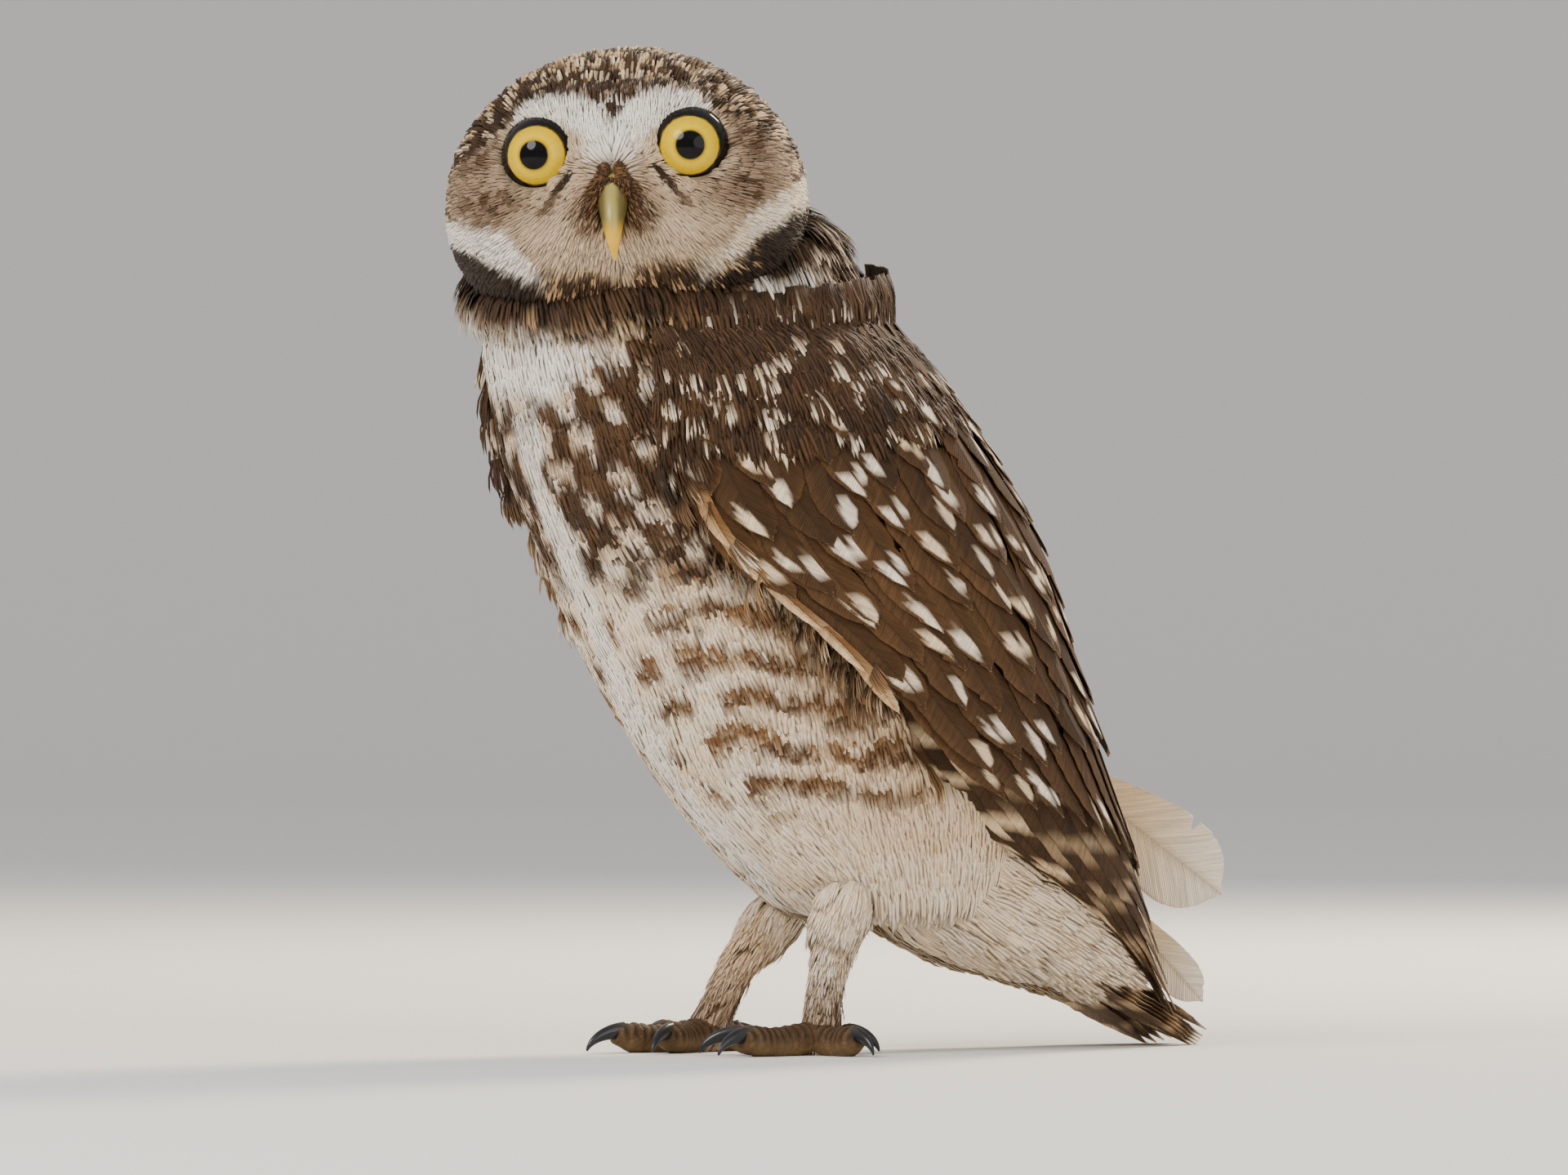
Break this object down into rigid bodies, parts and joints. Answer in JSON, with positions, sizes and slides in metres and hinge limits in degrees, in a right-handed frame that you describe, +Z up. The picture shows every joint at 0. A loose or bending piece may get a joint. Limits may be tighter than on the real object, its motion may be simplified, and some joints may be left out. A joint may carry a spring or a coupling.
{
  "type": "burrowing owl",
  "caption": "Small long-legged owl standing upright with folded wings, head turned to one side, tail tip resting behind its feet.",
  "frame": {"origin": "middle of the box round the owl, on the floor that it stands on", "axes": "+Z up, -Y the way the breast faces, +X the owl's left"},
  "size_m": [0.0924, 0.183, 0.2017],
  "materials": {
    "plumage": "matt brown feathers spotted with buff",
    "breast": "matt buff feathers barred with brown",
    "face": "matt short grey-buff feathers",
    "iris": "wet yellow eye",
    "bill": "horn, olive to yellow",
    "leg": "short white and brown feathers",
    "toe": "scaly olive-brown skin",
    "claw": "smooth dark horn"
  },
  "bodies": {
    "root": {"head": "face", "neck": "breast", "torso": "breast", "bill_upper": "bill", "bill_lower": "bill", "eye_left": "iris", "eye_right": "iris", "wing_left": "plumage", "wing_right": "plumage", "tail": "plumage", "thigh_left": "breast", "thigh_right": "breast", "shank_left": "leg", "shank_right": "leg", "foot_left": "toe", "foot_right": "toe", "claw_left_inner": "claw", "claw_left_middle": "claw", "claw_left_outer": "claw", "claw_left_hind": "claw", "claw_right_inner": "claw", "claw_right_middle": "claw", "claw_right_outer": "claw", "claw_right_hind": "claw"}
  },
  "joints": []
}
